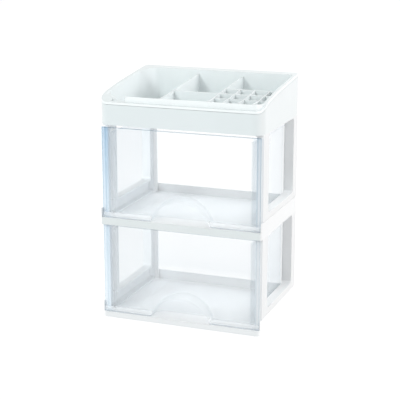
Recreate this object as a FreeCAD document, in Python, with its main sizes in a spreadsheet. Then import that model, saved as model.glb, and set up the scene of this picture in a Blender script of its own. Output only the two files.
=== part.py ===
import FreeCAD, Part
import os
import math
import Sketcher
from FreeCAD import Vector, Placement, Rotation

# Two-drawer vanity organiser with a lift-out compartment tray.
# Millimetres.  +Z up, the front faces -Y, origin at the centre of the
# footprint on the surface the organiser stands on.

doc = FreeCAD.newDocument("VanityOrganiser")

# --------------------------------------------------------------------------
# driving dimensions
# --------------------------------------------------------------------------
sheet = doc.addObject("Spreadsheet::Sheet", "Dimensions")
sheet.Label = "Dimensions"
CELLS = [
    ("overall_width", 260.0, "outer width of the three frames"),
    ("overall_depth", 184.0, "outer depth of the three frames"),
    ("base_deck", 8.5, "height of the base deck, front lip height"),
    ("base_skirt", 24.0, "top of the base side and rear skirts"),
    ("mid_under", 150.5, "underside of the middle frame"),
    ("mid_deck", 161.7, "deck of the middle frame"),
    ("mid_skirt", 175.5, "top of the middle side and rear skirts"),
    ("top_under", 307.0, "underside of the top frame"),
    ("top_ledge", 319.0, "ledge the tray stands on"),
    ("rim_front", 342.0, "rim of the tray at the front lip"),
    ("rim_rear", 373.3, "rim of the tray at the back"),
    ("rim_flange", 3.5, "thickness of the tray rim flange"),
    ("parting_gap", 0.6, "gap between tray flange and top frame"),
    ("frame_wall", 2.5, "wall and deck thickness of the frames"),
    ("skirt_wall", 1.6, "thickness of the upstanding skirts"),
    ("base_corner", 8.0, "plan corner radius of the base frame"),
    ("mid_corner", 4.0, "plan corner radius of the middle frame"),
    ("top_corner", 16.0, "front plan corner radius of the top frame and tray"),
    ("top_rear_corner", 7.0, "rear plan corner radius of the top frame and tray"),
    ("panel_setback", 8.0, "front edge of the side panels behind the frames' front face"),
    ("panel_lip", 119.0, "inner edge of the front flange of the side panels"),
    ("panel_outer", 129.7, "outer face of the side panels from the middle"),
    ("panel_inner", 115.5, "inner face of the side panels from the middle"),
    ("panel_skin", 3.5, "outer skin of the side panels"),
    ("panel_web", 2.0, "return flanges of the side panels"),
    ("window_front", 33.0, "front edge of the side windows from the front"),
    ("window_rear", 162.0, "rear edge of the side windows from the front"),
    ("window_corner", 6.0, "corner radius of the side windows"),
    ("low_sill", 34.0, "sill of the lower side windows"),
    ("high_sill", 185.0, "sill of the upper side windows"),
    ("drawer_setback", 3.0, "drawer front behind the frames' front face"),
    ("drawer_height", 140.4, "height of the drawer front"),
    ("drawer_width", 254.0, "width of the drawer front"),
    ("drawer_front_wall", 2.6, "thickness of the drawer front"),
    ("drawer_body", 225.6, "outer width of the drawer box"),
    ("drawer_box_height", 132.5, "height of the drawer box walls"),
    ("drawer_wall", 2.0, "drawer box wall and floor"),
    ("drawer_clear", 0.8, "drawer underside above the deck"),
    ("pull_chord", 98.4, "width of the finger recess at the drawer edge"),
    ("pull_rise", 31.5, "height of the finger recess in the drawer front"),
    ("pull_depth", 28.0, "depth of the finger recess"),
    ("tray_half", 126.7, "outer wall of the tray from the middle"),
    ("tray_wall", 2.2, "tray wall and floor thickness"),
    ("tray_rib", 2.0, "thickness of the tray partitions"),
    ("divider_left", -33.0, "left long partition of the tray"),
    ("divider_right", 42.0, "right long partition of the tray"),
    ("bin_corner", 36.0, "corner radius of the large left bin"),
]
for i, (alias, value, note) in enumerate(CELLS):
    r = i + 1
    sheet.set("A%d" % r, alias)
    sheet.set("B%d" % r, str(value))
    sheet.setAlias("B%d" % r, alias)
    sheet.set("C%d" % r, note)
doc.recompute()
D = {alias: value for alias, value, note in CELLS}

HW = D["overall_width"] / 2.0
FRONT = -D["overall_depth"] / 2.0


def yf(v):
    """distance behind the front face -> Y"""
    return FRONT + v


def cell(expr):
    """expression text: every known alias gets the sheet's name before it"""
    out = expr
    for alias in sorted(D, key=len, reverse=True):
        out = out.replace("<%s>" % alias, "Dimensions.%s" % alias)
    return out


# --------------------------------------------------------------------------
# helpers for bodies, sketches and features
# --------------------------------------------------------------------------
def new_body(name):
    b = doc.addObject("PartDesign::Body", name)
    b.Label = name
    return b


def origin_plane(body, role):
    for o in body.Origin.OriginFeatures:
        if o.Role == role:
            return o
    raise RuntimeError(role)


def new_sketch(body, name, role, lift="0"):
    s = body.newObject("Sketcher::SketchObject", name)
    s.AttachmentSupport = [(origin_plane(body, role), "")]
    s.MapMode = "FlatFace"
    s.setExpression("AttachmentOffset.Base.z", cell(lift))
    return s


def line(s, a, b):
    return s.addGeometry(Part.LineSegment(Vector(a[0], a[1], 0), Vector(b[0], b[1], 0)), False)


def polygon(s, pts):
    n = len(pts)
    ids = [line(s, pts[i], pts[(i + 1) % n]) for i in range(n)]
    for i in range(n):
        s.addConstraint(Sketcher.Constraint("Coincident", ids[i], 2, ids[(i + 1) % n], 1))
    return ids


def rectangle(s, x0, x1, y0, y1):
    ids = polygon(s, [(x0, y0), (x1, y0), (x1, y1), (x0, y1)])
    s.addConstraint(Sketcher.Constraint("Horizontal", ids[0]))
    s.addConstraint(Sketcher.Constraint("Vertical", ids[1]))
    s.addConstraint(Sketcher.Constraint("Horizontal", ids[2]))
    s.addConstraint(Sketcher.Constraint("Vertical", ids[3]))
    return ids


def arc(s, c, r, a0, a1):
    circle = Part.Circle(Vector(c[0], c[1], 0), Vector(0, 0, 1), r)
    return s.addGeometry(Part.ArcOfCircle(circle, math.radians(a0), math.radians(a1)), False)


def rounded(s, x0, x1, y0, y1, r, level=True, rear=None):
    """rounded rectangle of four lines and four tangent arcs; the two rear
    corners may have a radius of their own"""
    if r <= 0.01:
        return rectangle(s, x0, x1, y0, y1)
    q = r if rear is None else rear
    l0 = line(s, (x0 + r, y0), (x1 - r, y0))
    a0 = arc(s, (x1 - r, y0 + r), r, 270, 360)
    l1 = line(s, (x1, y0 + r), (x1, y1 - q))
    a1 = arc(s, (x1 - q, y1 - q), q, 0, 90)
    l2 = line(s, (x1 - q, y1), (x0 + q, y1))
    a2 = arc(s, (x0 + q, y1 - q), q, 90, 180)
    l3 = line(s, (x0, y1 - q), (x0, y0 + r))
    a3 = arc(s, (x0 + r, y0 + r), r, 180, 270)
    C = Sketcher.Constraint
    order = [(l0, 2, a0, 1), (a0, 2, l1, 1), (l1, 2, a1, 1), (a1, 2, l2, 1),
             (l2, 2, a2, 1), (a2, 2, l3, 1), (l3, 2, a3, 1), (a3, 2, l0, 1)]
    for g0, p0, g1, p1 in order:
        s.addConstraint(C("Tangent", g0, p0, g1, p1))
    if level:
        s.addConstraint(C("Horizontal", l0))
    s.addConstraint(C("Vertical", l1))
    if rear is None:
        s.addConstraint(C("Equal", a0, a1))
    s.addConstraint(C("Equal", a1, a2))
    s.addConstraint(C("Equal", a0, a3))
    return [l0, a0, l1, a1, l2, a2, l3, a3]


def outline(s, half_w, y_front, y_rear, radius, rear_radius=None):
    """plan outline centred on X, driven by the sheet; the arguments are
    expressions for half width, front Y, rear Y and corner radii"""
    def val(e):
        t = e
        for alias in sorted(D, key=len, reverse=True):
            t = t.replace("<%s>" % alias, repr(D[alias]))
        tot = 0.0
        for token in t.replace("-", "+-").split("+"):
            token = token.strip()
            if not token:
                continue
            sign = 1.0
            if token.startswith("-"):
                sign = -1.0
                token = token[1:].strip()
            num = 1.0
            for j, f in enumerate(token.split("/")):
                num = float(f) if j == 0 else num / float(f)
            tot += sign * num
        return tot
    hw, y0, y1, r = val(half_w), val(y_front), val(y_rear), val(radius)
    rear = None if rear_radius is None else val(rear_radius)
    g = rounded(s, -hw, hw, y0, y1, r, level=False, rear=rear)
    C = Sketcher.Constraint
    c = s.addConstraint(C("Symmetric", g[0], 1, g[0], 2, -2))
    c = s.addConstraint(C("DistanceX", -1, 1, g[2], 1, hw))
    s.setExpression("Constraints[%d]" % c, cell(half_w))
    c = s.addConstraint(C("DistanceY", -1, 1, g[0], 1, y0))
    s.setExpression("Constraints[%d]" % c, cell(y_front))
    c = s.addConstraint(C("DistanceY", -1, 1, g[4], 1, y1))
    s.setExpression("Constraints[%d]" % c, cell(y_rear))
    c = s.addConstraint(C("Radius", g[1], r))
    s.setExpression("Constraints[%d]" % c, cell(radius))
    if rear is not None:
        c = s.addConstraint(C("Radius", g[3], rear))
        s.setExpression("Constraints[%d]" % c, cell(rear_radius))
    return g


def pad(body, name, sk, length, reverse=False):
    f = body.newObject("PartDesign::Pad", name)
    f.Profile = sk
    f.Type = "Length"
    f.setExpression("Length", cell(length))
    f.Reversed = reverse
    body.Tip = f
    sk.Visibility = False
    return f


def pad_mid(body, name, sk, length):
    f = body.newObject("PartDesign::Pad", name)
    f.Profile = sk
    f.Type = "Length"
    f.setExpression("Length", cell(length))
    f.SideType = "Symmetric"
    body.Tip = f
    return f


def pocket(body, name, sk, length, reverse=False, symmetric=False):
    f = body.newObject("PartDesign::Pocket", name)
    f.Profile = sk
    f.Type = "Length"
    f.setExpression("Length", cell(length))
    f.Reversed = reverse
    if symmetric:
        f.SideType = "Symmetric"
    body.Tip = f
    return f


def check_drop(body, name, before, sign):
    """a cut has to take material away, a pad has to add some"""
    doc.recompute()
    after = body.Shape.Volume
    if (after - before) * sign <= 0:
        raise RuntimeError("%s: volume %.1f -> %.1f" % (name, before, after))
    return after


FR = "-<overall_depth>/2"
BK = "<overall_depth>/2"

# --------------------------------------------------------------------------
# base frame: deck with a hollow underside, low front lip, side and rear skirts
# --------------------------------------------------------------------------
base = new_body("base_frame")
s = new_sketch(base, "base_outline", "XY_Plane", "0")
outline(s, "<overall_width>/2", FR, BK, "<base_corner>")
pad(base, "base_slab", s, "<base_deck>")
doc.recompute()
vol = base.Shape.Volume

s = new_sketch(base, "base_hollow", "XY_Plane", "0")
xs = [-127.0, -43.5, -41.0, 41.0, 43.5, 127.0]
for x0, x1 in ((-127.0, -43.5), (-41.0, 41.0), (43.5, 127.0)):
    for y0, y1 in ((yf(3.0), -1.2), (1.2, yf(181.0))):
        rounded(s, x0, x1, y0, y1, 5.0)
pocket(base, "base_cells", s, "<base_deck> - <frame_wall>", reverse=True)
vol = check_drop(base, "base_cells", vol, -1)

s = new_sketch(base, "base_skirt_ring", "XY_Plane", "<base_deck>")
outline(s, "<overall_width>/2", FR, BK, "<base_corner>")
outline(s, "<overall_width>/2 - <skirt_wall>", FR + " + <skirt_wall>", BK + " - <skirt_wall>",
        "<base_corner> - <skirt_wall>")
pad(base, "base_skirt_wall", s, "<base_skirt> - <base_deck>")
vol = check_drop(base, "base_skirt", vol, 1)

s = new_sketch(base, "base_front_gap", "XY_Plane", "<base_skirt>")
rectangle(s, -128.3, 128.3, yf(-2.0), yf(7.5))
pocket(base, "base_front_open", s, "<base_skirt> - <base_deck>")
vol = check_drop(base, "base_front_open", vol, -1)

s = new_sketch(base, "base_guides", "XY_Plane", "<base_deck>")
for x0, x1 in ((-96.0, -86.0), (86.0, 96.0)):
    rectangle(s, x0, x1, yf(34.0), yf(174.0))
pad(base, "base_guide_ribs", s, "<drawer_clear> - 0.3")
vol = check_drop(base, "base_guides", vol, 1)

# --------------------------------------------------------------------------
# middle frame: deck between the two tiers
# --------------------------------------------------------------------------
mid = new_body("middle_frame")
s = new_sketch(mid, "mid_outline", "XY_Plane", "<mid_under>")
outline(s, "<overall_width>/2", FR, BK, "<mid_corner>")
pad(mid, "mid_slab", s, "<mid_deck> - <mid_under>")
doc.recompute()
vol = mid.Shape.Volume

s = new_sketch(mid, "mid_hollow", "XY_Plane", "<mid_under>")
outline(s, "<overall_width>/2 - <frame_wall>", FR + " + <frame_wall>", BK + " - <frame_wall>", "1.5")
pocket(mid, "mid_under_hollow", s, "<mid_deck> - <mid_under> - <frame_wall>", reverse=True)
vol = check_drop(mid, "mid_hollow", vol, -1)

s = new_sketch(mid, "mid_ribs_plan", "XY_Plane", "<mid_deck> - <frame_wall> - 5")
for x0, x1 in ((-61.0, -59.2), (-0.9, 0.9), (59.2, 61.0)):
    rectangle(s, x0, x1, yf(2.0), yf(182.0))
pad(mid, "mid_ribs", s, "5.5")
vol = check_drop(mid, "mid_ribs", vol, 1)

s = new_sketch(mid, "mid_cross_rib_plan", "XY_Plane", "<mid_deck> - <frame_wall> - 5")
rectangle(s, -112.0, 112.0, -0.9, 0.9)
pad(mid, "mid_cross_rib", s, "5.5")
vol = check_drop(mid, "mid_cross_rib", vol, 1)

s = new_sketch(mid, "mid_skirt_ring", "XY_Plane", "<mid_deck>")
outline(s, "<overall_width>/2", FR, BK, "<mid_corner>")
outline(s, "<overall_width>/2 - <skirt_wall>", FR + " + <skirt_wall>", BK + " - <skirt_wall>",
        "<mid_corner> - <skirt_wall>")
pad(mid, "mid_skirt_wall", s, "<mid_skirt> - <mid_deck>")
vol = check_drop(mid, "mid_skirt", vol, 1)

s = new_sketch(mid, "mid_front_gap", "XY_Plane", "<mid_skirt>")
rectangle(s, -128.3, 128.3, yf(-2.0), yf(7.5))
pocket(mid, "mid_front_open", s, "<mid_skirt> - <mid_deck>")
vol = check_drop(mid, "mid_front_open", vol, -1)

s = new_sketch(mid, "mid_guides", "XY_Plane", "<mid_deck>")
for x0, x1 in ((-96.0, -86.0), (86.0, 96.0)):
    rectangle(s, x0, x1, yf(34.0), yf(174.0))
pad(mid, "mid_guide_ribs", s, "<drawer_clear> - 0.3")
vol = check_drop(mid, "mid_guides", vol, 1)

# --------------------------------------------------------------------------
# rim line of the tray: level at the front lip, sweeping up round the front
# corners, then a straight rise to the back
# --------------------------------------------------------------------------
RF = D["rim_front"]
RIM = [(-6.0, RF), (0.0, RF + 0.1), (4.0, RF + 1.0), (9.0, RF + 3.8), (16.0, RF + 7.8), (25.0, RF + 10.8),
       (36.0, RF + 13.0), (56.0, RF + 16.4), (80.0, RF + 19.8), (100.0, RF + 22.1)]
RISE = (D["rim_rear"] - RF - 22.1) / (D["overall_depth"] - 100.0)


def rim_curve(dz):
    """rim line lowered by dz, as sketch points (Y, Z) on the YZ plane"""
    return [Vector(yf(a), b - dz, 0) for a, b in RIM]


def side_region(s, dz, z_far):
    """closed side-view region between the rim line (lowered by dz) and z_far"""
    pts = rim_curve(dz)
    curve = Part.BSplineCurve()
    curve.interpolate(pts)
    g0 = s.addGeometry(curve, False)
    end = pts[-1]
    rear = Vector(yf(198.0), RF + 22.1 + RISE * 98.0 - dz, 0)
    g1 = line(s, (end.x, end.y), (rear.x, rear.y))
    g2 = line(s, (rear.x, rear.y), (rear.x, z_far))
    g3 = line(s, (rear.x, z_far), (pts[0].x, z_far))
    g4 = line(s, (pts[0].x, z_far), (pts[0].x, pts[0].y))
    return [g0, g1, g2, g3, g4]


# --------------------------------------------------------------------------
# top frame: deep front band, sides rising to the back, ledge for the tray
# --------------------------------------------------------------------------
top = new_body("top_frame")
s = new_sketch(top, "top_outline", "XY_Plane", "<top_under>")
outline(s, "<overall_width>/2", FR, BK, "<top_corner>", "<top_rear_corner>")
pad(top, "top_block", s, "76")
doc.recompute()
vol = top.Shape.Volume

s = new_sketch(top, "top_well", "XY_Plane", "<top_ledge>")
outline(s, "<overall_width>/2 - <frame_wall>", FR + " + <frame_wall>", BK + " - <frame_wall>",
        "<top_corner> - <frame_wall>", "<top_rear_corner> - <frame_wall>")
pocket(top, "top_upper_well", s, "70", reverse=True)
vol = check_drop(top, "top_upper_well", vol, -1)

s = new_sketch(top, "top_underside", "XY_Plane", "<top_under>")
outline(s, "<overall_width>/2 - <frame_wall>", FR + " + <frame_wall>", BK + " - <frame_wall>",
        "<top_corner> - <frame_wall>", "<top_rear_corner> - <frame_wall>")
pocket(top, "top_under_hollow", s, "<top_ledge> - <top_under> - <frame_wall>", reverse=True)
vol = check_drop(top, "top_under_hollow", vol, -1)

s = new_sketch(top, "top_ledge_plan", "XY_Plane", "<top_ledge> - 6")
outline(s, "<overall_width>/2 - 24", FR + " + 20", BK + " - 20", "10")
pocket(top, "top_ledge_open", s, "12", reverse=True)
vol = check_drop(top, "top_ledge_open", vol, -1)

s = new_sketch(top, "top_rim_side", "YZ_Plane", "0")
side_region(s, D["rim_flange"] + D["parting_gap"], 420.0)
pocket(top, "top_rim_cut", s, "300", symmetric=True)
vol = check_drop(top, "top_rim_cut", vol, -1)

# --------------------------------------------------------------------------
# side panels: open channel sections round a large window
# --------------------------------------------------------------------------


def ring_cut(body, name, lift, depth, half_w, y0, y1, r):
    """takes away everything outside a rounded plan outline over a height"""
    sk = new_sketch(body, name + "_plan", "XY_Plane", lift)
    rectangle(sk, -150.0, 150.0, yf(-20.0), yf(204.0))
    rounded(sk, -half_w, half_w, yf(y0), yf(y1), r)
    return pocket(body, name, sk, depth, reverse=True)


def side_panel(name, side, z0, z1, foot_top, neck, sill, foot_r, head_hw, head_y0, head_y1, head_r):
    """side: -1 left, +1 right.  z0..z1 full height, foot_top the height the
    lower skirt covers, neck the height where the upper skirt starts"""
    b = new_body(name)
    lift = "<panel_inner>" if side > 0 else "-<panel_outer>"
    sk = new_sketch(b, name + "_side", "YZ_Plane", lift)
    rectangle(sk, yf(D["panel_setback"]), yf(182.0), z0, z1)
    pad(b, name + "_block", sk, "<panel_outer> - <panel_inner>")
    doc.recompute()
    v = b.Shape.Volume

    # large window
    sk = new_sketch(b, name + "_window_side", "YZ_Plane", lift)
    rounded(sk, yf(D["window_front"]), yf(D["window_rear"]), sill, neck - 1.2, D["window_corner"])
    pocket(b, name + "_window", sk, "<panel_outer> - <panel_inner>", reverse=True)
    v = check_drop(b, name + " window", v, -1)

    # inward return down the rear edge of the rear post, behind the drawer
    sk = new_sketch(b, name + "_return_plan", "XY_Plane", repr(z0))
    xa, xb = D["panel_inner"] - 6.0, D["panel_inner"] + 1.0
    if side > 0:
        rectangle(sk, xa, xb, yf(178.6), yf(181.0))
    else:
        rectangle(sk, -xb, -xa, yf(178.6), yf(181.0))
    pad(b, name + "_return", sk, repr(neck - 1.2 - z0))
    v = check_drop(b, name + " return", v, 1)

    # channel open to the inside, running down the posts and along the rail
    inner = D["panel_inner"]
    web = D["panel_web"]
    depth = D["panel_outer"] - D["panel_inner"] - D["panel_skin"]
    lift_in = "<panel_inner>" if side > 0 else "-<panel_inner>"
    sk = new_sketch(b, name + "_channel_side", "YZ_Plane", lift_in)
    wf, wr = D["window_front"] - web, D["window_rear"] + web
    fw = D["panel_setback"] + web
    polygon(sk, [(yf(fw), z0 + web), (yf(180.0), z0 + web), (yf(180.0), neck - 3.0), (yf(wr), neck - 3.0),
                 (yf(wr), sill - web), (yf(wf), sill - web), (yf(wf), neck - 3.0), (yf(fw), neck - 3.0)])
    pocket(b, name + "_channel", sk, "<panel_outer> - <panel_inner> - <panel_skin>", reverse=(side > 0))
    v = check_drop(b, name + " channel", v, -1)

    # the front flange is narrower than the posts are deep
    sk = new_sketch(b, name + "_lip_plan", "XY_Plane", repr(z0 - 1.0))
    if side > 0:
        rectangle(sk, inner - 1.0, D["panel_lip"], yf(fw - 4.0), yf(fw + 0.6))
    else:
        rectangle(sk, -D["panel_lip"], -inner + 1.0, yf(fw - 4.0), yf(fw + 0.6))
    pocket(b, name + "_front_lip", sk, repr(z1 - z0 + 2.0), reverse=True)
    v = check_drop(b, name + " lip", v, -1)

    # foot inside the lower skirt, head inside the upper one
    ring_cut(b, name + "_foot", repr(z0 - 0.5), repr(foot_top - z0 + 0.7), 128.2, 1.8, 182.2, foot_r)
    v = check_drop(b, name + " foot", v, -1)
    ring_cut(b, name + "_head", repr(neck), repr(z1 - neck + 1.0), head_hw, head_y0, head_y1, head_r)
    v = check_drop(b, name + " head", v, -1)
    return b


low_args = (D["base_deck"], 158.9, D["base_skirt"], D["mid_under"], D["low_sill"], 6.2, 127.2, 2.8, 181.2, 1.2)
high_args = (D["mid_deck"], 316.2, D["mid_skirt"], D["top_under"], D["high_sill"], 2.2, 127.2, 2.8, 181.2, 13.2)
low_left = side_panel("lower_left_side_panel", -1, *low_args)
low_right = side_panel("lower_right_side_panel", 1, *low_args)
high_left = side_panel("upper_left_side_panel", -1, *high_args)
high_right = side_panel("upper_right_side_panel", 1, *high_args)

# --------------------------------------------------------------------------
# drawers: clear box, wide front, domed finger recess at the bottom edge
# --------------------------------------------------------------------------


def arch(body, name, y, half, rise, z0, foot):
    """arch section on a plane parallel to XZ at depth y behind the front:
    a circular arc on a short straight foot that reaches below the drawer"""
    sk = body.newObject("Sketcher::SketchObject", name)
    sk.AttachmentSupport = [(origin_plane(body, "XZ_Plane"), "")]
    sk.MapMode = "FlatFace"
    sk.AttachmentOffset = Placement(Vector(0, 0, -yf(y)), Rotation())
    R = (half * half + rise * rise) / (2.0 * rise)
    cz = z0 + rise - R
    a = math.degrees(math.atan2(z0 - cz, half))
    g0 = arc(sk, (0, cz), R, a, 180 - a)
    g1 = line(sk, (-half, z0), (-half, z0 - foot))
    g2 = line(sk, (-half, z0 - foot), (half, z0 - foot))
    g3 = line(sk, (half, z0 - foot), (half, z0))
    C = Sketcher.Constraint
    sk.addConstraint(C("Coincident", g0, 2, g1, 1))
    sk.addConstraint(C("Coincident", g1, 2, g2, 1))
    sk.addConstraint(C("Coincident", g2, 2, g3, 1))
    sk.addConstraint(C("Coincident", g3, 2, g0, 1))
    return sk


def drawer(name, deck_expr, deck):
    b = new_body(name)
    z0 = deck + D["drawer_clear"]
    lift = deck_expr + " + <drawer_clear>"
    wall = D["drawer_wall"]
    hb = D["drawer_body"] / 2.0
    df = D["drawer_setback"]

    s1 = new_sketch(b, name + "_front_plan", "XY_Plane", lift)
    rounded(s1, -D["drawer_width"] / 2.0, D["drawer_width"] / 2.0, yf(df), yf(df + D["drawer_front_wall"]), 1.2)
    pad(b, name + "_front", s1, "<drawer_height>")
    doc.recompute()
    v = b.Shape.Volume

    s2 = new_sketch(b, name + "_box_plan", "XY_Plane", lift)
    rounded(s2, -hb, hb, yf(df + 1.7), yf(173.0), 8.0)
    # square front corners: the box runs straight into the front
    pad(b, name + "_box", s2, "<drawer_box_height>")
    v = check_drop(b, name + " box", v, 1)

    s2b = new_sketch(b, name + "_box_front_plan", "XY_Plane", lift)
    rectangle(s2b, -hb, hb, yf(df + 1.7), yf(df + 11.7))
    pad(b, name + "_box_front", s2b, "<drawer_box_height>")
    v = check_drop(b, name + " box front", v, 1)

    s3 = new_sketch(b, name + "_rim_plan", "XY_Plane", lift + " + <drawer_box_height> - 3")
    rounded(s3, -hb - 1.2, hb + 1.2, yf(df + 1.7), yf(174.2), 9.2)
    pad(b, name + "_rim", s3, "3")
    v = check_drop(b, name + " rim", v, 1)

    s4 = new_sketch(b, name + "_inside_plan", "XY_Plane", lift + " + <drawer_wall>")
    rounded(s4, -hb + wall, hb - wall, yf(df + D["drawer_front_wall"]), yf(173.0 - wall), 6.0)
    pocket(b, name + "_inside", s4, "<drawer_height>", reverse=True)
    v = check_drop(b, name + " inside", v, -1)

    s5 = new_sketch(b, name + "_sill_plan", "XY_Plane", lift)
    rectangle(s5, -hb + 1.0, hb - 1.0, yf(df + 1.7), yf(df + 5.7))
    pad(b, name + "_sill", s5, "7.2")
    v = check_drop(b, name + " sill", v, 1)

    # dome over the finger recess: outer skin, then the hollow
    half = D["pull_chord"] / 2.0
    rise = D["pull_rise"]
    dep = D["pull_depth"]
    d0 = df + 0.2
    stations = [(d0, half, rise), (d0 + dep * 0.42, half - 0.4, rise + 4.8),
                (d0 + dep * 0.80, half - 4.0, rise + 4.6), (d0 + dep, half - 12.0, rise - 4.0)]
    skin = 1.8
    outer = [arch(b, name + "_dome_%d" % i, y + (skin if i == 3 else 0.0), h + skin, r + skin, z0, 0.02)
             for i, (y, h, r) in enumerate(stations)]
    lf = b.newObject("PartDesign::AdditiveLoft", name + "_dome")
    lf.Profile = outer[0]
    lf.Sections = outer[1:]
    lf.Ruled = False
    lf.Closed = False
    b.Tip = lf
    v = check_drop(b, name + " dome", v, 1)

    inner = [arch(b, name + "_scoop_%d" % i, y - (2.0 if i == 0 else 0.0), h, r, z0, 3.0)
             for i, (y, h, r) in enumerate(stations)]
    lf = b.newObject("PartDesign::SubtractiveLoft", name + "_scoop")
    lf.Profile = inner[0]
    lf.Sections = inner[1:]
    lf.Ruled = False
    lf.Closed = False
    b.Tip = lf
    v = check_drop(b, name + " scoop", v, -1)

    # trim whatever the dome feet leave below the drawer floor
    s6 = new_sketch(b, name + "_trim_plan", "XY_Plane", lift + " - 4")
    rectangle(s6, -80.0, 80.0, yf(-4.0), yf(40.0))
    pocket(b, name + "_trim", s6, "4", reverse=True)
    doc.recompute()
    return b


low_drawer = drawer("lower_drawer", "<base_deck>", D["base_deck"])
high_drawer = drawer("upper_drawer", "<mid_deck>", D["mid_deck"])

# --------------------------------------------------------------------------
# compartment tray: rim flange, outer box, partitions, lattice
# --------------------------------------------------------------------------
tray = new_body("compartment_tray")
TH = D["tray_half"]
TW = D["tray_wall"]
RIB = D["tray_rib"]
TF, TR = 3.3, 172.2          # outer wall, front and rear, from the front face
ZB = D["top_ledge"]
ZF = ZB + TW

# rim flange: a curved band that follows the rim line over the whole plan
s = new_sketch(tray, "tray_outline", "XY_Plane", "330")
outline(s, "<overall_width>/2", FR, BK, "<top_corner>", "<top_rear_corner>")
pad(tray, "tray_rim_block", s, "52")
doc.recompute()
vol = tray.Shape.Volume

s = new_sketch(tray, "tray_flange_under", "YZ_Plane", "0")
side_region(s, D["rim_flange"], 320.0)
pocket(tray, "tray_flange_under_cut", s, "300", symmetric=True)
vol = check_drop(tray, "tray_flange_under_cut", vol, -1)

s = new_sketch(tray, "tray_box_plan", "XY_Plane", "<top_ledge>")
outline(s, "<tray_half>", FR + " + 3.3", BK + " - 11.8", "<top_corner> - 3.3",
        "<top_rear_corner> - 1")
pad(tray, "tray_box", s, "63")
vol = check_drop(tray, "tray_box", vol, 1)

s = new_sketch(tray, "tray_rim_side", "YZ_Plane", "0")
side_region(s, 0.0, 420.0)
pocket(tray, "tray_rim_cut", s, "300", symmetric=True)
vol = check_drop(tray, "tray_rim_cut", vol, -1)

s = new_sketch(tray, "tray_inside_plan", "XY_Plane", "<top_ledge> + <tray_wall>")
outline(s, "<tray_half> - <tray_wall>", FR + " + 3.3 + <tray_wall>", BK + " - 11.8 - <tray_wall>",
        "<top_corner> - 3.3 - <tray_wall>", "<top_rear_corner> - 1 - <tray_wall>")
pocket(tray, "tray_inside", s, "80", reverse=True)
vol = check_drop(tray, "tray_inside", vol, -1)

XL = D["divider_left"]
XR = D["divider_right"]
ROWS = (36.0, 63.0, 89.5)
COLS = (65.4, 88.8, 112.2)
TOPZ = 378.0

# long partitions, front to back
s = new_sketch(tray, "tray_long_plan", "XY_Plane", "<top_ledge> + 1")
h = RIB / 2.0
rectangle(s, XL - h, XL + h, yf(4.5), yf(TR - 1.0))
rectangle(s, XR - h, XR + h, yf(4.5), yf(TR - 1.0))
for x in COLS:
    rectangle(s, x - 0.8, x + 0.8, yf(4.5), yf(ROWS[2]))
pad(tray, "tray_long_ribs", s, "61")
vol = check_drop(tray, "tray_long_ribs", vol, 1)

# cross partitions
s = new_sketch(tray, "tray_cross_plan", "XY_Plane", "<top_ledge> + 1")
rb = D["bin_corner"]
rectangle(s, -TH + rb - 0.4, 114.0, yf(4.2), yf(6.4))
rectangle(s, XR, TH - 1.0, yf(ROWS[0] - 0.8), yf(ROWS[0] + 0.8))
rectangle(s, XL, TH - 1.0, yf(ROWS[1] - 1.0), yf(ROWS[1] + 1.0))
rectangle(s, XR, TH - 1.0, yf(ROWS[2] - 1.0), yf(ROWS[2] + 1.0))
pad(tray, "tray_cross_ribs", s, "58")
vol = check_drop(tray, "tray_cross_ribs", vol, 1)

# land filling most of the space outside the round corner wall
s = new_sketch(tray, "tray_bin_land_plan", "XY_Plane", "<top_ledge> + 1")
cx, cy = -TH + rb, yf(4.2) + rb
C = Sketcher.Constraint
x_land, r_mid = -110.5, rb - 1.2
ox, oy, ro = -TH + 12.7, yf(TF + 12.7), 11.8
turn = math.degrees(math.acos((cx - x_land) / r_mid))
a0 = arc(s, (ox, oy), ro, 180, 270)
g0 = line(s, (ox, oy - ro), (x_land, oy - ro))
g1 = line(s, (x_land, oy - ro), (x_land, cy - r_mid * math.sin(math.radians(turn))))
a1 = arc(s, (cx, cy), r_mid, 180, 180 + turn)
g2 = line(s, (cx - r_mid, cy), (ox - ro, cy))
g3 = line(s, (ox - ro, cy), (ox - ro, oy))
s.addConstraint(C("Coincident", a0, 2, g0, 1))
s.addConstraint(C("Coincident", g0, 2, g1, 1))
s.addConstraint(C("Coincident", g1, 2, a1, 2))
s.addConstraint(C("Coincident", a1, 1, g2, 1))
s.addConstraint(C("Coincident", g2, 2, g3, 1))
s.addConstraint(C("Coincident", g3, 2, a0, 1))
pad(tray, "tray_bin_land", s, "61")
vol = check_drop(tray, "tray_bin_land", vol, 1)

# the land in the front left corner is cut to the rim surface
s = new_sketch(tray, "tray_land_side", "YZ_Plane", "-<tray_half> + <tray_wall> - 1")
side_region(s, 0.0, 420.0)
pocket(tray, "tray_land_trim", s, "15.6", reverse=True)
vol = check_drop(tray, "tray_land_trim", vol, -1)

# large bin: round corner wall at the front left
s = new_sketch(tray, "tray_bin_front_corner", "XY_Plane", "<top_ledge> + 1")
cx, cy = -TH + rb, yf(4.2) + rb
a0 = arc(s, (cx, cy), rb, 180, 270)
a1 = arc(s, (cx, cy), rb - RIB, 180, 270)
g = line(s, (cx - rb, cy), (cx - rb + RIB, cy))
g2 = line(s, (cx, cy - rb), (cx, cy - rb + RIB))
s.addConstraint(C("Coincident", g, 1, a0, 1))
s.addConstraint(C("Coincident", g, 2, a1, 1))
s.addConstraint(C("Coincident", g2, 1, a0, 2))
s.addConstraint(C("Coincident", g2, 2, a1, 2))
pad(tray, "tray_bin_front_wall", s, "61")
vol = check_drop(tray, "tray_bin_front_wall", vol, 1)

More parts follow.
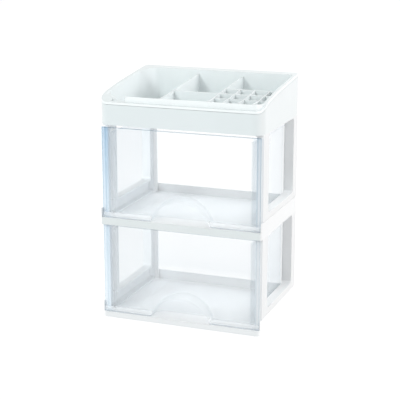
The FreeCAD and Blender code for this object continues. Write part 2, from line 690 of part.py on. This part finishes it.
# partitions are trimmed to a line a little under the rim
s = new_sketch(tray, "tray_trim_side", "YZ_Plane", "0")
y_end = TR - TW
rim_at = lambda a: RF + 22.1 + RISE * (a - 100.0)
polygon(s, [(yf(3.9), 420.0), (yf(3.9), 351.0), (yf(6.6), 351.0), (yf(6.7), 350.6),
            (yf(36.0), 351.9), (yf(62.5), 354.6), (yf(89.5), 357.6), (yf(y_end), 365.0), (yf(y_end), rim_at(y_end)),
            (yf(198.0), rim_at(198.0)), (yf(198.0), 420.0)])
pocket(tray, "tray_partition_trim", s, "2 * (<tray_half> - <tray_wall>)", symmetric=True)
vol = check_drop(tray, "tray_partition_trim", vol, -1)

# partition ends inside the side walls follow the rim
for tag, lift, rev in (("right", "<tray_half> - <tray_wall>", True), ("left", "-<tray_half> + <tray_wall>", False)):
    s = new_sketch(tray, "tray_end_side_" + tag, "YZ_Plane", lift)
    side_region(s, 0.0, 420.0)
    pocket(tray, "tray_end_trim_" + tag, s, "20", reverse=rev)
    vol = check_drop(tray, "tray_end_trim_" + tag, vol, -1)

# large bin: filled round corner at the rear left
s = new_sketch(tray, "tray_bin_rear_corner", "XY_Plane", "<top_ledge> + 1")
rr = rb - RIB
x_in, y_in = -TH + TW, yf(TR) - TW
cx, cy = x_in + rr, y_in - rr
a = arc(s, (cx, cy), rr, 90, 180)
g0 = line(s, (x_in, cy), (x_in - 1.0, cy))
kx, ky = -TH + 6.0, yf(TR) - 6.0
g1 = line(s, (x_in - 1.0, cy), (x_in - 1.0, ky))
g2 = arc(s, (kx, ky), 4.8, 90, 180)
g3 = line(s, (kx, y_in + 1.0), (cx, y_in + 1.0))
g4 = line(s, (cx, y_in + 1.0), (cx, y_in))
s.addConstraint(C("Coincident", a, 2, g0, 1))
s.addConstraint(C("Coincident", g0, 2, g1, 1))
s.addConstraint(C("Coincident", g1, 2, g2, 2))
s.addConstraint(C("Coincident", g2, 1, g3, 1))
s.addConstraint(C("Coincident", g3, 2, g4, 1))
s.addConstraint(C("Coincident", g4, 2, a, 1))
pad(tray, "tray_bin_rear_fill", s, "61")
vol = check_drop(tray, "tray_bin_rear_fill", vol, 1)

s = new_sketch(tray, "tray_fill_side", "YZ_Plane", "-<tray_half> + <tray_wall> - 1")
side_region(s, 0.0, 420.0)
pocket(tray, "tray_fill_trim", s, "<bin_corner> + 2", reverse=True)
vol = check_drop(tray, "tray_fill_trim", vol, -1)

# the front wall runs on round the front right corner and meets the rim there
s = new_sketch(tray, "tray_front_corner_plan", "XY_Plane", "<top_ledge> + 1")
cx, cy, ro = TH - 12.7, yf(TF + 12.7), 11.8
x_side, ri = TH - TW, 18.0
a0 = arc(s, (cx, cy), ro, 270, 360)
a1 = arc(s, (x_side - ri, yf(6.4) + ri), ri, 270, 360)
g0 = line(s, (x_side - ri, yf(6.4)), (x_side - ri, yf(4.2)))
g1 = line(s, (x_side - ri, yf(4.2)), (cx, yf(4.2)))
g2 = line(s, (cx + ro, cy), (cx + ro, yf(6.4) + ri))
g3 = line(s, (cx + ro, yf(6.4) + ri), (x_side, yf(6.4) + ri))
s.addConstraint(C("Coincident", a1, 1, g0, 1))
s.addConstraint(C("Coincident", g0, 2, g1, 1))
s.addConstraint(C("Coincident", g1, 2, a0, 1))
s.addConstraint(C("Coincident", a0, 2, g2, 1))
s.addConstraint(C("Coincident", g2, 2, g3, 1))
s.addConstraint(C("Coincident", g3, 2, a1, 2))
pad(tray, "tray_front_corner", s, "351 - <top_ledge> - 1")
vol = check_drop(tray, "tray_front_corner", vol, 1)

doc.recompute()

# --------------------------------------------------------------------------
# checks and export
# --------------------------------------------------------------------------
NODES = [base, mid, top, low_left, low_right, high_left, high_right, low_drawer, high_drawer, tray]
for o in doc.Objects:
    st = list(getattr(o, "State", []))
    if "Invalid" in st or "Error" in st:
        raise RuntimeError("object %s is %s" % (o.Name, st))
os.makedirs("parts", exist_ok=True)
for b in NODES:
    sh = b.Shape
    if sh.isNull() or not sh.isValid():
        raise RuntimeError("bad shape " + b.Label)
    bb = sh.optimalBoundingBox(False, False)
    print("%-26s solids %d faces %4d vol %9.0f  x %.2f..%.2f y %.2f..%.2f z %.2f..%.2f" % (
        b.Label, len(sh.Solids), len(sh.Faces), sh.Volume, bb.XMin, bb.XMax, bb.YMin, bb.YMax, bb.ZMin, bb.ZMax))
    sh.exportStep("parts/%s.step" % b.Label)
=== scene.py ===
import bpy
import math
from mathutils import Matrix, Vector


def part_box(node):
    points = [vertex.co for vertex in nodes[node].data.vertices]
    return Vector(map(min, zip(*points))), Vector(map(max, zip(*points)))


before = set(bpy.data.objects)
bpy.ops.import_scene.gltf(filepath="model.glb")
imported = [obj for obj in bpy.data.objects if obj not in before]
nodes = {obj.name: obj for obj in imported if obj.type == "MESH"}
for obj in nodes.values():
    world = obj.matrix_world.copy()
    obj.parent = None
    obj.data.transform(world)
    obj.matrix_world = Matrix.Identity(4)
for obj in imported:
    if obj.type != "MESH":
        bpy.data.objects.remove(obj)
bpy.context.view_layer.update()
scene = bpy.context.scene

# ---------------------------------------------------------------- camera
# the view is 20.7 degrees round to the right and 14.7 degrees down
AZ, EL, DIST = math.radians(20.7), math.radians(14.7), 1.7204
TARGET = Vector((0.0338, -0.092, 0.204))
back = Vector((math.sin(AZ) * math.cos(EL), -math.cos(AZ) * math.cos(EL), math.sin(EL)))
cam_data = bpy.data.cameras.new("studio_camera")
cam_data.sensor_fit = "HORIZONTAL"
cam_data.sensor_width = 36.0
cam_data.lens = 104.3
cam_data.clip_start = 0.05
cam_data.clip_end = 60.0
cam = bpy.data.objects.new("studio_camera", cam_data)
scene.collection.objects.link(cam)
cam.location = TARGET + back * DIST
cam.rotation_euler = (-back).to_track_quat("-Z", "Y").to_euler()
scene.camera = cam

scene.view_settings.view_transform = "Standard"
scene.view_settings.look = "None"
scene.view_settings.exposure = 0.0
scene.view_settings.gamma = 1.0
scene.cycles.max_bounces = 24
scene.cycles.diffuse_bounces = 8
scene.cycles.glossy_bounces = 8
scene.cycles.transmission_bounces = 20
scene.cycles.transparent_max_bounces = 24
scene.cycles.use_denoising = True

# ---------------------------------------------------------------- light
world = bpy.data.worlds.new("studio_world")
scene.world = world
world.use_nodes = True
wt = world.node_tree
bg = wt.nodes["Background"]
bg.inputs["Color"].default_value = (1.0, 1.0, 1.0, 1.0)
# a bright band of diffusers round the table, dimmer overhead
up = wt.nodes.new("ShaderNodeSeparateXYZ")
wt.links.new(wt.nodes.new("ShaderNodeTexCoord").outputs["Generated"], up.inputs["Vector"])
fall = wt.nodes.new("ShaderNodeMapRange")
fall.interpolation_type = "SMOOTHSTEP"
fall.inputs["From Min"].default_value = 0.25
fall.inputs["From Max"].default_value = 0.80
fall.inputs["To Min"].default_value = 0.98
fall.inputs["To Max"].default_value = 0.42
wt.links.new(up.outputs["Z"], fall.inputs["Value"])
wt.links.new(fall.outputs["Result"], bg.inputs["Strength"])


def area(name, size, power, place, aim, color=(1.0, 1.0, 1.0)):
    d = bpy.data.lights.new(name, "AREA")
    d.shape = "RECTANGLE"
    d.size, d.size_y = size
    d.energy = power
    d.color = color
    o = bpy.data.objects.new(name, d)
    scene.collection.objects.link(o)
    o.location = place
    o.rotation_euler = (Vector(aim) - Vector(place)).to_track_quat("-Z", "Y").to_euler()
    return o


area("side_softbox", (1.0, 1.0), 18.0, (2.2, 0.35, 1.30), (0.0, 0.0, 0.2))
# high and to the left: each partition shades the wall to its right
area("front_softbox", (0.45, 0.45), 18.0, (-0.85, -1.72, 1.435), (0.0, -0.02, 0.33), (0.95, 1.0, 1.0))
# high behind: through the open back on to the decks and down into the tray
area("back_softbox", (1.6, 0.9), 22.0, (0.35, 1.90, 2.05), (0.0, 0.0, 0.15))


# ---------------------------------------------------------------- materials
def new_material(name):
    m = bpy.data.materials.new(name)
    m.use_nodes = True
    nt = m.node_tree
    nt.nodes.clear()
    out = nt.nodes.new("ShaderNodeOutputMaterial")
    return m, nt, out


def put(nt, kind, **values):
    n = nt.nodes.new(kind)
    for k, v in values.items():
        setattr(n, k, v)
    return n


def noise(nt, coord, scale, detail=2.0, rough=0.5):
    n = nt.nodes.new("ShaderNodeTexNoise")
    n.inputs["Scale"].default_value = scale
    n.inputs["Detail"].default_value = detail
    n.inputs["Roughness"].default_value = rough
    nt.links.new(coord, n.inputs["Vector"])
    return n


def remap(nt, value, lo, hi, from_lo=0.3, from_hi=0.7):
    n = nt.nodes.new("ShaderNodeMapRange")
    n.inputs["From Min"].default_value = from_lo
    n.inputs["From Max"].default_value = from_hi
    n.inputs["To Min"].default_value = lo
    n.inputs["To Max"].default_value = hi
    nt.links.new(value, n.inputs["Value"])
    return n.outputs["Result"]


def ramp(nt, value, c0, c1, p0=0.3, p1=0.7):
    n = nt.nodes.new("ShaderNodeValToRGB")
    n.color_ramp.elements[0].position = p0
    n.color_ramp.elements[0].color = (*c0, 1.0)
    n.color_ramp.elements[1].position = p1
    n.color_ramp.elements[1].color = (*c1, 1.0)
    nt.links.new(value, n.inputs["Fac"])
    return n.outputs["Color"]


def white_plastic(name, color, front=None, painted_highlight=None, spread=0.012, rough=(0.30, 0.38)):
    """satin moulded polystyrene: faint cloudiness, a fine moulded grain; the
    front faces at the front of a frame may take a deeper tone, a painted shade,
    and the faces that look one way (a tone and that direction) a paler one, a
    painted highlight"""
    m, nt, out = new_material(name)
    tc = nt.nodes.new("ShaderNodeTexCoord")
    co = tc.outputs["Object"]
    p = nt.nodes.new("ShaderNodeBsdfPrincipled")
    cloud = noise(nt, co, 14.0, 3.0, 0.55)

    def tone(c):
        lo = tuple(max(0.0, v - spread) for v in c)
        hi = tuple(min(1.0, v + spread) for v in c)
        return ramp(nt, cloud.outputs["Fac"], lo, hi)

    base = tone(color)
    geo = nt.nodes.new("ShaderNodeNewGeometry")
    # painted shade: faces that look forward, at the frame's front, take the deeper front tone
    if front is not None:
        way = nt.nodes.new("ShaderNodeSeparateXYZ")
        nt.links.new(geo.outputs["Normal"], way.inputs["Vector"])
        place = nt.nodes.new("ShaderNodeSeparateXYZ")
        nt.links.new(co, place.inputs["Vector"])
        fac = math_node(nt, "MULTIPLY", remap(nt, way.outputs["Y"], 1.0, 0.0, -0.97, -0.60),
                        remap(nt, place.outputs["Y"], 1.0, 0.0, -0.084, -0.074))
        two = nt.nodes.new("ShaderNodeMixRGB")
        nt.links.new(fac, two.inputs["Fac"])
        nt.links.new(base, two.inputs["Color1"])
        nt.links.new(tone(front), two.inputs["Color2"])
        base = two.outputs["Color"]
    # painted highlight: faces that look along the given direction take the paler tone
    if painted_highlight is not None:
        dot = put(nt, "ShaderNodeVectorMath", operation="DOT_PRODUCT")
        nt.links.new(geo.outputs["Normal"], dot.inputs[0])
        dot.inputs[1].default_value = painted_highlight[1]
        three = nt.nodes.new("ShaderNodeMixRGB")
        nt.links.new(remap(nt, dot.outputs["Value"], 0.0, 1.0, 0.30, 0.50), three.inputs["Fac"])
        nt.links.new(base, three.inputs["Color1"])
        nt.links.new(tone(painted_highlight[0]), three.inputs["Color2"])
        base = three.outputs["Color"]
    nt.links.new(base, p.inputs["Base Color"])
    grain = noise(nt, co, 240.0, 2.0, 0.5)
    swirl = noise(nt, co, 60.0, 3.0, 0.5)
    nt.links.new(remap(nt, swirl.outputs["Fac"], rough[0], rough[1]), p.inputs["Roughness"])
    b = nt.nodes.new("ShaderNodeBump")
    b.inputs["Strength"].default_value = 0.03
    b.inputs["Distance"].default_value = 0.0002
    nt.links.new(grain.outputs["Fac"], b.inputs["Height"])
    nt.links.new(b.outputs["Normal"], p.inputs["Normal"])
    p.inputs["IOR"].default_value = 1.5
    nt.links.new(p.outputs["BSDF"], out.inputs["Surface"])
    return m


def multiply(nt, a, b, fac=None):
    n = nt.nodes.new("ShaderNodeMixRGB")
    n.blend_type = "MULTIPLY"
    n.inputs["Fac"].default_value = 1.0
    nt.links.new(a, n.inputs["Color1"])
    if isinstance(b, tuple):
        n.inputs["Color2"].default_value = (*b, 1.0)
    else:
        nt.links.new(b, n.inputs["Color2"])
    if fac is not None:
        nt.links.new(fac, n.inputs["Fac"])
    return n.outputs["Color"]


def math_node(nt, op, a, b=None):
    n = nt.nodes.new("ShaderNodeMath")
    n.operation = op
    nt.links.new(a, n.inputs[0])
    if b is not None:
        if isinstance(b, float):
            n.inputs[1].default_value = b
        else:
            nt.links.new(b, n.inputs[1])
    return n.outputs["Value"]


def clear_plastic(name, node, haze, cast, top, foot, painted_line_tone, rear_foot_tone):
    """clear polystyrene: thin walls that bend nothing, a faint milky film, a
    blue cast that deepens where a wall is seen along its length and in the
    border of the front, where the moulding is thicker and shows flow lines;
    painted shade darkens the left of that border, the rear wall towards its
    foot and the top and bottom edges of the front, and painted dark lines
    mark the border"""
    lo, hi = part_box(node)
    m, nt, out = new_material(name)
    co = nt.nodes.new("ShaderNodeTexCoord").outputs["Object"]
    wave = noise(nt, co, 26.0, 2.0, 0.5)
    b = nt.nodes.new("ShaderNodeBump")
    b.inputs["Strength"].default_value = 0.06
    b.inputs["Distance"].default_value = 0.001
    nt.links.new(wave.outputs["Fac"], b.inputs["Height"])
    film = nt.nodes.new("ShaderNodeBsdfPrincipled")
    nt.links.new(ramp(nt, wave.outputs["Fac"], (0.93, 0.95, 0.965), (0.96, 0.97, 0.98)), film.inputs["Base Color"])
    nt.links.new(remap(nt, wave.outputs["Fac"], 0.05, 0.10), film.inputs["Roughness"])
    film.inputs["IOR"].default_value = 1.5
    nt.links.new(b.outputs["Normal"], film.inputs["Normal"])
    clear = nt.nodes.new("ShaderNodeBsdfTransparent")
    edge = nt.nodes.new("ShaderNodeLayerWeight")
    edge.inputs["Blend"].default_value = 0.35
    nt.links.new(b.outputs["Normal"], edge.inputs["Normal"])
    grazing = tuple(c - d for c, d in zip(cast, (0.03, 0.018, 0.010)))
    tint = ramp(nt, edge.outputs["Facing"], cast, grazing, 0.30, 0.95)
    sep = nt.nodes.new("ShaderNodeSeparateXYZ")
    nt.links.new(co, sep.inputs["Vector"])
    across = math_node(nt, "ABSOLUTE", sep.outputs["X"])
    band = remap(nt, across, 0.0, 1.0, 0.1115, 0.1165)
    # the border's cast, partly the thicker moulding's own blue: stronger towards the top, and stronger on the left, a
    # painted shade where the post behind the left border lies in shade
    tall = ramp(nt, remap(nt, sep.outputs["Z"], 0.0, 1.0, lo[2], hi[2]), foot, top, 0.05, 0.95)
    streaks = nt.nodes.new("ShaderNodeMapping")
    streaks.inputs["Scale"].default_value = (420.0, 40.0, 3.0)
    nt.links.new(co, streaks.inputs["Vector"])
    flow = noise(nt, streaks.outputs["Vector"], 1.0, 1.0, 0.5)
    lines = ramp(nt, flow.outputs["Fac"], (0.95, 0.965, 0.98), (1.0, 1.0, 1.0))
    # painted shade: the border's cast is made stronger on the left
    side = remap(nt, sep.outputs["X"], 1.0, 0.30, -0.02, 0.02)
    fac = math_node(nt, "MULTIPLY", band, side)
    tint = multiply(nt, tint, multiply(nt, tall, lines), fac)
    # painted dark lines, where the border shows dark lines of shade: one inside the border and one along the outer edge
    near = math_node(nt, "SUBTRACT", across, 0.1213)
    inner_shade_line = remap(nt, math_node(nt, "ABSOLUTE", near), 1.0, 0.0, 0.0004, 0.0010)
    rim = remap(nt, across, 0.0, 1.0, 0.1258, 0.1264)
    painted_lines = math_node(nt, "MAXIMUM", inner_shade_line, rim)
    tint = multiply(nt, tint, painted_line_tone, painted_lines)
    # the side walls are the thickest of the box
    geo = nt.nodes.new("ShaderNodeNewGeometry")
    way = nt.nodes.new("ShaderNodeSeparateXYZ")
    nt.links.new(geo.outputs["Normal"], way.inputs["Vector"])
    wall = remap(nt, math_node(nt, "ABSOLUTE", way.outputs["X"]), 0.0, 1.0, 0.8, 1.0)
    tint = multiply(nt, tint, (0.966, 0.972, 0.976), wall)
    # the rear wall's cast is darker towards its foot: painted shade, where the rail behind it lies in shade
    back = remap(nt, sep.outputs["Y"], 0.0, 1.0, hi[1] - 0.0030, hi[1] - 0.0026)
    back = math_node(nt, "MULTIPLY", back, remap(nt, sep.outputs["Z"], 0.0, 1.0, lo[2] + 0.012, lo[2] + 0.030))
    rear_foot_shade = ramp(nt, remap(nt, sep.outputs["Z"], 0.0, 1.0, lo[2], hi[2]), rear_foot_tone, (1.0, 1.0, 1.0), 0.15, 1.0)
    tint = multiply(nt, tint, rear_foot_shade, back)
    # the thick sill along the foot of the front; and painted shadow lines along
    # the top and bottom edges of the front, where the gaps to the frame lie in shade
    front = remap(nt, sep.outputs["Y"], 1.0, 0.0, lo[1] + 0.0062, lo[1] + 0.0066)
    plate = remap(nt, sep.outputs["Y"], 1.0, 0.0, lo[1] + 0.0027, lo[1] + 0.0029)
    sill = math_node(nt, "MULTIPLY", front, remap(nt, sep.outputs["Z"], 1.0, 0.0, lo[2] + 0.0070, lo[2] + 0.0078))
    painted_gap_shadow = math_node(nt, "MAXIMUM", remap(nt, sep.outputs["Z"], 1.0, 0.0, lo[2] + 0.0006, lo[2] + 0.0012),
                       remap(nt, sep.outputs["Z"], 0.0, 1.0, hi[2] - 0.0012, hi[2] - 0.0006))
    painted_gap_shadow = math_node(nt, "MULTIPLY", painted_gap_shadow, plate)
    tint = multiply(nt, tint, (0.70, 0.75, 0.79), painted_gap_shadow)
    nt.links.new(tint, clear.inputs["Color"])
    mix = nt.nodes.new("ShaderNodeMixShader")
    share = remap(nt, edge.outputs["Facing"], haze, 0.30, 0.2, 1.0)
    share = math_node(nt, "MAXIMUM", share, math_node(nt, "MULTIPLY", sill, 0.34))
    nt.links.new(share, mix.inputs["Fac"])
    nt.links.new(clear.outputs["BSDF"], mix.inputs[1])
    nt.links.new(film.outputs["BSDF"], mix.inputs[2])
    nt.links.new(mix.outputs["Shader"], out.inputs["Surface"])
    return m


# painted shade: the second colour is the frames' darker front-face tone; painted highlight: the last pair gives a paler
# tone to faces that look along its direction
top_white = white_plastic("white_top_frame", (0.72, 0.75, 0.755), (0.65, 0.70, 0.71))
mid_white = white_plastic("white_middle_frame", (0.78, 0.785, 0.79), (0.64, 0.68, 0.685),
                          ((0.92, 0.925, 0.93), (0.0, 0.0, 1.0)))
base_white = white_plastic("white_base_frame", (0.89, 0.895, 0.90), (0.72, 0.74, 0.75),
                           ((0.955, 0.96, 0.965), (0.0, 0.0, 1.0)))
# lit and shaded copies of one white plastic: the left panels get a paler copy, painted light for their inner faces that
# lie in shade
panel_white = white_plastic("white_panel", (0.735, 0.74, 0.745), None, ((0.90, 0.905, 0.91), (0.0, 0.0, 1.0)))
left_panel_lighter_copy = white_plastic("white_left_panel", (0.82, 0.825, 0.83), None, ((0.96, 0.965, 0.97), (0.8, -0.6, 0.0)))
tray_white = white_plastic("white_tray", (0.79, 0.83, 0.835), None, ((0.87, 0.905, 0.912), (1.0, 0.0, 0.0)))
# per drawer: haze, cast, the border's top and foot casts (the left border's extra cast is painted shade), the tone of
# the painted dark lines and the rear wall's painted foot shade
clear_up = clear_plastic("clear_upper_drawer", "upper_drawer", 0.040, (0.998, 0.999, 1.0),
                         (0.825, 0.882, 0.922), (0.955, 0.970, 0.980), (0.81, 0.86, 0.90),
                         (0.985, 0.989, 0.992))
clear_low = clear_plastic("clear_lower_drawer", "lower_drawer", 0.085, (0.996, 0.998, 0.999),
                          (0.915, 0.943, 0.962), (0.965, 0.978, 0.986), (0.90, 0.93, 0.95),
                          (0.885, 0.908, 0.928))

LOOK = {
    "base_frame": base_white, "middle_frame": mid_white, "top_frame": top_white,
    "lower_left_side_panel": left_panel_lighter_copy, "lower_right_side_panel": panel_white,
    "upper_left_side_panel": left_panel_lighter_copy, "upper_right_side_panel": panel_white,
    "lower_drawer": clear_low, "upper_drawer": clear_up, "compartment_tray": tray_white,
}
for name, mat in LOOK.items():
    o = nodes[name]
    o.data.materials.clear()
    o.data.materials.append(mat)

# ---------------------------------------------------------------- floor
me = bpy.data.meshes.new("studio_floor")
S = 14.0
me.from_pydata([(-S, -S, 0), (S, -S, 0), (S, S, 0), (-S, S, 0)], [], [(0, 1, 2, 3)])
floor = bpy.data.objects.new("studio_floor", me)
scene.collection.objects.link(floor)
fm, nt, out = new_material("studio_floor")
co = nt.nodes.new("ShaderNodeTexCoord").outputs["Object"]
p = nt.nodes.new("ShaderNodeBsdfPrincipled")
f = noise(nt, co, 1.5, 2.0, 0.5)
nt.links.new(ramp(nt, f.outputs["Fac"], (0.11, 0.11, 0.11), (0.13, 0.13, 0.13)), p.inputs["Base Color"])
p.inputs["Roughness"].default_value = 0.9
p.inputs["Specular IOR Level"].default_value = 0.1
p.inputs["Emission Color"].default_value = (1.0, 1.0, 1.0, 1.0)
p.inputs["Emission Strength"].default_value = 0.925
nt.links.new(p.outputs["BSDF"], out.inputs["Surface"])
floor.data.materials.append(fm)
